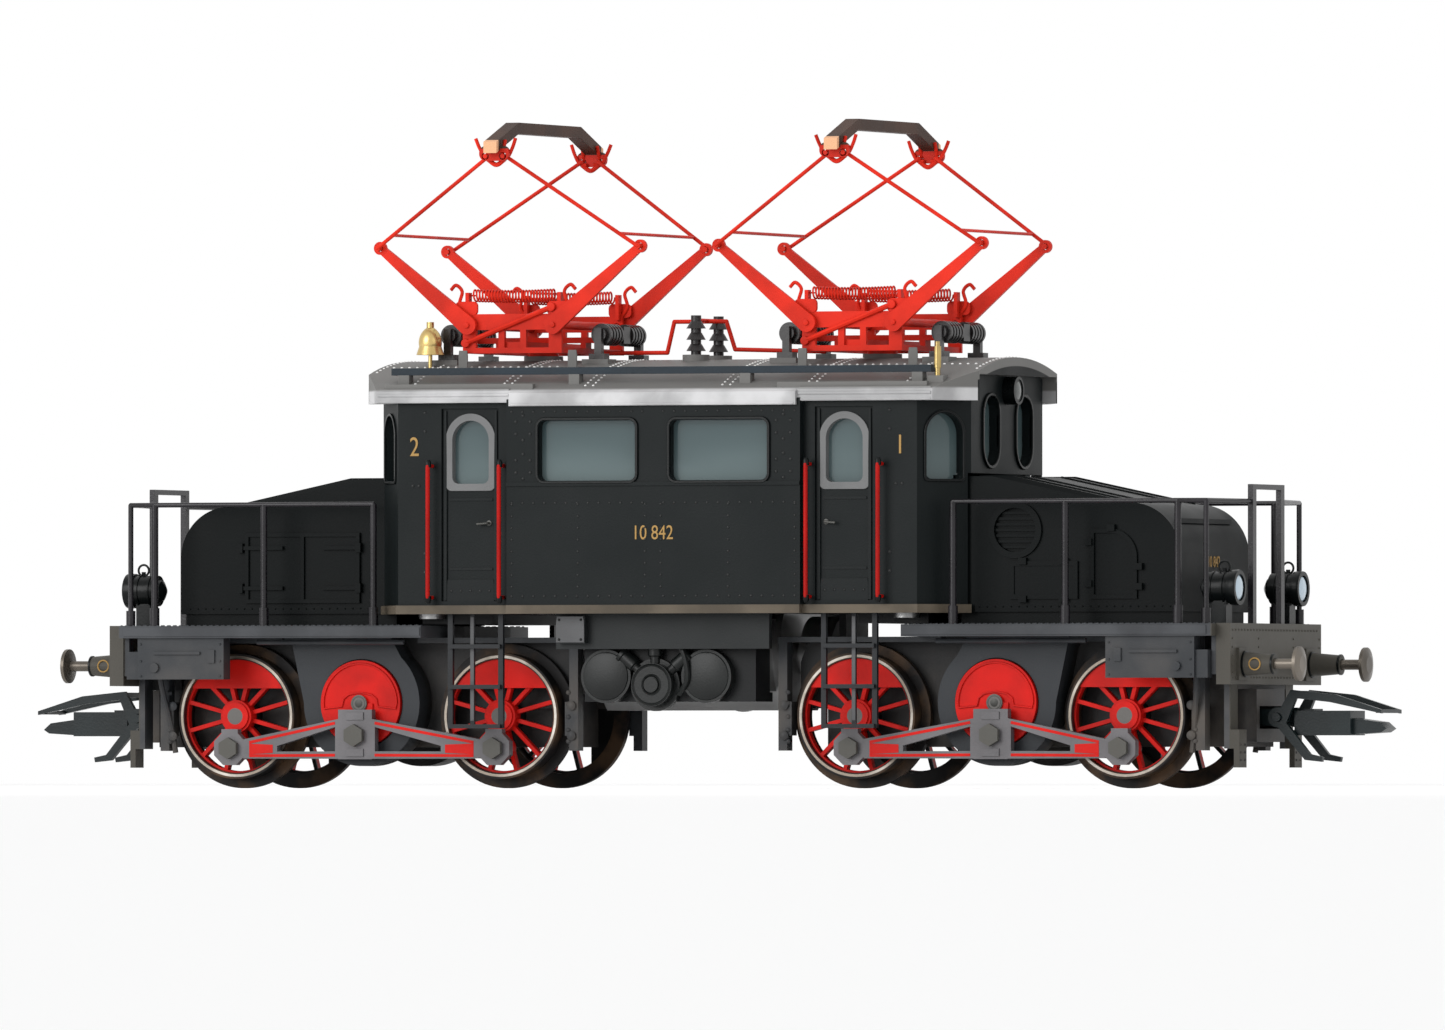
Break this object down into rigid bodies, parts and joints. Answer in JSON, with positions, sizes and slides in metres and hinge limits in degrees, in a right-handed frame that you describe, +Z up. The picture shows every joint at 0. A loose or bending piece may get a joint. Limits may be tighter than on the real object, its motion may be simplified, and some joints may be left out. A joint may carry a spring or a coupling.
{
  "type": "model electric locomotive",
  "caption": "Scale model centre-cab electric locomotive on two swivelling rod-driven trucks with hoods, railings, sprung buffers, loop couplers and two folding pantographs.",
  "frame": {"origin": "centre of the model in plan, at the lowest point of the wheel flanges", "axes": "+X towards the front, +Y to the left, +Z up"},
  "size_m": [0.1544, 0.0348, 0.071],
  "materials": {
    "underframe_grey": "satin grey paint",
    "body_black": "matt anthracite",
    "roof_silver": "matt silver grey",
    "glazing": "clear tinted moulding",
    "frame_warm_grey": "matt warm grey",
    "signal_red": "gloss red wire",
    "ladder_grey": "matt grey moulding",
    "walkboard_blue": "matt blue grey",
    "brass": "bright brass",
    "insulator_brown": "satin dark brown",
    "lamp_black": "matt black",
    "motor_steel": "bright steel",
    "board_green": "printed board",
    "fitting_grey": "matt dark grey",
    "pantograph_red": "satin orange red",
    "wheel_red": "red centres with steel tyres",
    "rod_grey": "satin grey",
    "coupler_green": "dark moulded plastic",
    "buffer_steel": "gunmetal",
    "collector_brown": "browned strip"
  },
  "bodies": {
    "locomotive": {"chassis_frame": "underframe_grey", "cab_shell": "body_black", "cab_roof": "roof_silver", "window_glazing": "glazing", "door_window_frames": "frame_warm_grey", "door_handrails": "signal_red", "entry_ladders": "ladder_grey", "roof_walkboards": "walkboard_blue", "bell_and_whistle": "brass", "roof_insulators": "insulator_brown", "roof_busbar": "signal_red", "upper_headlamps": "lamp_black", "motor": "motor_steel", "circuit_board": "board_green", "body_screws": "motor_steel", "compressor_and_tanks": "fitting_grey", "pantograph_springs": "pantograph_red", "front_pantograph_base": "pantograph_red", "rear_pantograph_base": "pantograph_red"},
    "motor_shaft": {"motor_shaft": "motor_steel"},
    "front_truck": {"front_truck_frame": "underframe_grey", "front_deck": "underframe_grey", "front_hood": "body_black", "front_railings": "body_black", "front_deck_headlamps": "lamp_black", "front_brakes_and_boxes": "underframe_grey"},
    "front_outer_wheelset": {"front_outer_wheelset": "wheel_red"},
    "front_inner_wheelset": {"front_inner_wheelset": "wheel_red"},
    "front_jackshaft": {"front_jackshaft": "wheel_red"},
    "front_right_rod": {"front_right_rod": "rod_grey"},
    "front_left_rod": {"front_left_rod": "rod_grey"},
    "front_coupler": {"front_coupler": "coupler_green"},
    "front_coupler_loop": {"front_coupler_loop": "coupler_green"},
    "front_buffer_right": {"front_buffer_right": "buffer_steel"},
    "front_buffer_left": {"front_buffer_left": "buffer_steel"},
    "rear_truck": {"rear_truck_frame": "underframe_grey", "rear_deck": "underframe_grey", "rear_hood": "body_black", "rear_railings": "body_black", "rear_deck_headlamps": "lamp_black", "rear_brakes_and_boxes": "underframe_grey"},
    "rear_outer_wheelset": {"rear_outer_wheelset": "wheel_red"},
    "rear_inner_wheelset": {"rear_inner_wheelset": "wheel_red"},
    "rear_jackshaft": {"rear_jackshaft": "wheel_red"},
    "rear_right_rod": {"rear_right_rod": "rod_grey"},
    "rear_left_rod": {"rear_left_rod": "rod_grey"},
    "rear_coupler": {"rear_coupler": "coupler_green"},
    "rear_coupler_loop": {"rear_coupler_loop": "coupler_green"},
    "rear_buffer_right": {"rear_buffer_right": "buffer_steel"},
    "rear_buffer_left": {"rear_buffer_left": "buffer_steel"},
    "front_back_lower_arm": {"front_back_lower_arm": "pantograph_red"},
    "front_back_upper_arm": {"front_back_upper_arm": "pantograph_red"},
    "front_fore_lower_arm": {"front_fore_lower_arm": "pantograph_red"},
    "front_fore_upper_arm": {"front_fore_upper_arm": "pantograph_red"},
    "front_pantograph_head": {"front_pantograph_head": "collector_brown"},
    "rear_back_lower_arm": {"rear_back_lower_arm": "pantograph_red"},
    "rear_back_upper_arm": {"rear_back_upper_arm": "pantograph_red"},
    "rear_fore_lower_arm": {"rear_fore_lower_arm": "pantograph_red"},
    "rear_fore_upper_arm": {"rear_fore_upper_arm": "pantograph_red"},
    "rear_pantograph_head": {"rear_pantograph_head": "collector_brown"}
  },
  "joints": [
    {"name": "motor_shaft_spin", "type": "hinge", "parent": "locomotive", "child": "motor_shaft", "pos_m": [0, 0, 0.0142], "axis": [1, 0, 0], "continuous": true},
    {"name": "front_truck_swivel", "type": "hinge", "parent": "locomotive", "child": "front_truck", "pos_m": [0.03, 0, 0.0166], "axis": [0, 0, 1], "range_deg": [-5, 5]},
    {"name": "front_outer_wheelset_spin", "type": "hinge", "parent": "front_truck", "child": "front_outer_wheelset", "pos_m": [0.051, 0, 0.0077], "axis": [0, 1, 0], "continuous": true},
    {"name": "front_inner_wheelset_spin", "type": "hinge", "parent": "front_truck", "child": "front_inner_wheelset", "pos_m": [0.0204, 0, 0.0077], "axis": [0, 1, 0], "continuous": true},
    {"name": "front_jackshaft_spin", "type": "hinge", "parent": "front_truck", "child": "front_jackshaft", "pos_m": [0.03643, 0, 0.00907], "axis": [0, 1, 0], "continuous": true},
    {"name": "front_right_rod_pivot", "type": "hinge", "parent": "front_jackshaft", "child": "front_right_rod", "pos_m": [0.03643, 0, 0.00565], "axis": [0, 1, 0], "continuous": true},
    {"name": "front_left_rod_pivot", "type": "hinge", "parent": "front_jackshaft", "child": "front_left_rod", "pos_m": [0.03985, 0, 0.00907], "axis": [0, 1, 0], "continuous": true},
    {"name": "front_coupler_swing", "type": "hinge", "parent": "front_truck", "child": "front_coupler", "pos_m": [0.0615, 0, 0.0075], "axis": [0, 0, 1], "range_deg": [-10, 10], "stiffness_Nm_per_rad": 0.001},
    {"name": "front_coupler_loop_lift", "type": "hinge", "parent": "front_coupler", "child": "front_coupler_loop", "pos_m": [0.0655, 0, 0.0075], "axis": [0, -1, 0], "range_deg": [0, 18]},
    {"name": "front_buffer_right_press", "type": "slide", "parent": "front_truck", "child": "front_buffer_right", "axis": [-1, 0, 0], "range_m": [0, 0.001], "stiffness_N_per_m": 400},
    {"name": "front_buffer_left_press", "type": "slide", "parent": "front_truck", "child": "front_buffer_left", "axis": [-1, 0, 0], "range_m": [0, 0.001], "stiffness_N_per_m": 400},
    {"name": "rear_truck_swivel", "type": "hinge", "parent": "locomotive", "child": "rear_truck", "pos_m": [-0.03, 0, 0.0166], "axis": [0, 0, 1], "range_deg": [-5, 5]},
    {"name": "rear_outer_wheelset_spin", "type": "hinge", "parent": "rear_truck", "child": "rear_outer_wheelset", "pos_m": [-0.051, 0, 0.0077], "axis": [0, 1, 0], "continuous": true},
    {"name": "rear_inner_wheelset_spin", "type": "hinge", "parent": "rear_truck", "child": "rear_inner_wheelset", "pos_m": [-0.0204, 0, 0.0077], "axis": [0, 1, 0], "continuous": true},
    {"name": "rear_jackshaft_spin", "type": "hinge", "parent": "rear_truck", "child": "rear_jackshaft", "pos_m": [-0.03643, 0, 0.00907], "axis": [0, 1, 0], "continuous": true},
    {"name": "rear_right_rod_pivot", "type": "hinge", "parent": "rear_jackshaft", "child": "rear_right_rod", "pos_m": [-0.03643, 0, 0.00565], "axis": [0, 1, 0], "continuous": true},
    {"name": "rear_left_rod_pivot", "type": "hinge", "parent": "rear_jackshaft", "child": "rear_left_rod", "pos_m": [-0.03985, 0, 0.00907], "axis": [0, 1, 0], "continuous": true},
    {"name": "rear_coupler_swing", "type": "hinge", "parent": "rear_truck", "child": "rear_coupler", "pos_m": [-0.0615, 0, 0.0075], "axis": [0, 0, 1], "range_deg": [-10, 10], "stiffness_Nm_per_rad": 0.001},
    {"name": "rear_coupler_loop_lift", "type": "hinge", "parent": "rear_coupler", "child": "rear_coupler_loop", "pos_m": [-0.0655, 0, 0.0075], "axis": [0, 1, 0], "range_deg": [0, 18]},
    {"name": "rear_buffer_right_press", "type": "slide", "parent": "rear_truck", "child": "rear_buffer_right", "axis": [1, 0, 0], "range_m": [0, 0.001], "stiffness_N_per_m": 400},
    {"name": "rear_buffer_left_press", "type": "slide", "parent": "rear_truck", "child": "rear_buffer_left", "axis": [1, 0, 0], "range_m": [0, 0.001], "stiffness_N_per_m": 400},
    {"name": "front_back_lower_fold", "type": "hinge", "parent": "locomotive", "child": "front_back_lower_arm", "pos_m": [0.01455, 0, 0.0494], "axis": [0, -1, 0], "range_deg": [0, 26], "stiffness_Nm_per_rad": 0.001, "springref_deg": -57.3},
    {"name": "front_back_upper_fold", "type": "hinge", "parent": "front_back_lower_arm", "child": "front_back_upper_arm", "pos_m": [0.0045, 0, 0.0577], "axis": [0, 1, 0], "range_deg": [0, 48.67]},
    {"name": "front_fore_lower_fold", "type": "hinge", "parent": "locomotive", "child": "front_fore_lower_arm", "pos_m": [0.02445, 0, 0.0494], "axis": [0, 1, 0], "range_deg": [0, 26]},
    {"name": "front_fore_upper_fold", "type": "hinge", "parent": "front_fore_lower_arm", "child": "front_fore_upper_arm", "pos_m": [0.0345, 0, 0.0577], "axis": [0, -1, 0], "range_deg": [0, 48.67]},
    {"name": "front_head_level", "type": "hinge", "parent": "front_back_upper_arm", "child": "front_pantograph_head", "pos_m": [0.0185, 0, 0.0673], "axis": [0, -1, 0], "range_deg": [0, 22.67]},
    {"name": "rear_back_lower_fold", "type": "hinge", "parent": "locomotive", "child": "rear_back_lower_arm", "pos_m": [-0.02445, 0, 0.0494], "axis": [0, -1, 0], "range_deg": [0, 26], "stiffness_Nm_per_rad": 0.001, "springref_deg": -57.3},
    {"name": "rear_back_upper_fold", "type": "hinge", "parent": "rear_back_lower_arm", "child": "rear_back_upper_arm", "pos_m": [-0.0345, 0, 0.0577], "axis": [0, 1, 0], "range_deg": [0, 48.67]},
    {"name": "rear_fore_lower_fold", "type": "hinge", "parent": "locomotive", "child": "rear_fore_lower_arm", "pos_m": [-0.01455, 0, 0.0494], "axis": [0, 1, 0], "range_deg": [0, 26]},
    {"name": "rear_fore_upper_fold", "type": "hinge", "parent": "rear_fore_lower_arm", "child": "rear_fore_upper_arm", "pos_m": [-0.0045, 0, 0.0577], "axis": [0, -1, 0], "range_deg": [0, 48.67]},
    {"name": "rear_head_level", "type": "hinge", "parent": "rear_back_upper_arm", "child": "rear_pantograph_head", "pos_m": [-0.0205, 0, 0.0673], "axis": [0, -1, 0], "range_deg": [0, 22.67]}
  ],
  "couplings": [
    {"joint": "front_outer_wheelset_spin", "follows": "motor_shaft_spin", "ratio": 0.1},
    {"joint": "front_inner_wheelset_spin", "follows": "motor_shaft_spin", "ratio": 0.1},
    {"joint": "front_jackshaft_spin", "follows": "motor_shaft_spin", "ratio": 0.1},
    {"joint": "front_right_rod_pivot", "follows": "motor_shaft_spin", "ratio": -0.1},
    {"joint": "front_left_rod_pivot", "follows": "motor_shaft_spin", "ratio": -0.1},
    {"joint": "rear_outer_wheelset_spin", "follows": "motor_shaft_spin", "ratio": 0.1},
    {"joint": "rear_inner_wheelset_spin", "follows": "motor_shaft_spin", "ratio": 0.1},
    {"joint": "rear_jackshaft_spin", "follows": "motor_shaft_spin", "ratio": 0.1},
    {"joint": "rear_right_rod_pivot", "follows": "motor_shaft_spin", "ratio": -0.1},
    {"joint": "rear_left_rod_pivot", "follows": "motor_shaft_spin", "ratio": -0.1},
    {"joint": "front_back_upper_fold", "follows": "front_back_lower_fold", "ratio": 1.872},
    {"joint": "front_fore_lower_fold", "follows": "front_back_lower_fold", "ratio": 1},
    {"joint": "front_fore_upper_fold", "follows": "front_back_lower_fold", "ratio": 1.872},
    {"joint": "front_head_level", "follows": "front_back_lower_fold", "ratio": 0.872},
    {"joint": "rear_back_upper_fold", "follows": "rear_back_lower_fold", "ratio": 1.872},
    {"joint": "rear_fore_lower_fold", "follows": "rear_back_lower_fold", "ratio": 1},
    {"joint": "rear_fore_upper_fold", "follows": "rear_back_lower_fold", "ratio": 1.872},
    {"joint": "rear_head_level", "follows": "rear_back_lower_fold", "ratio": 0.872}
  ]
}
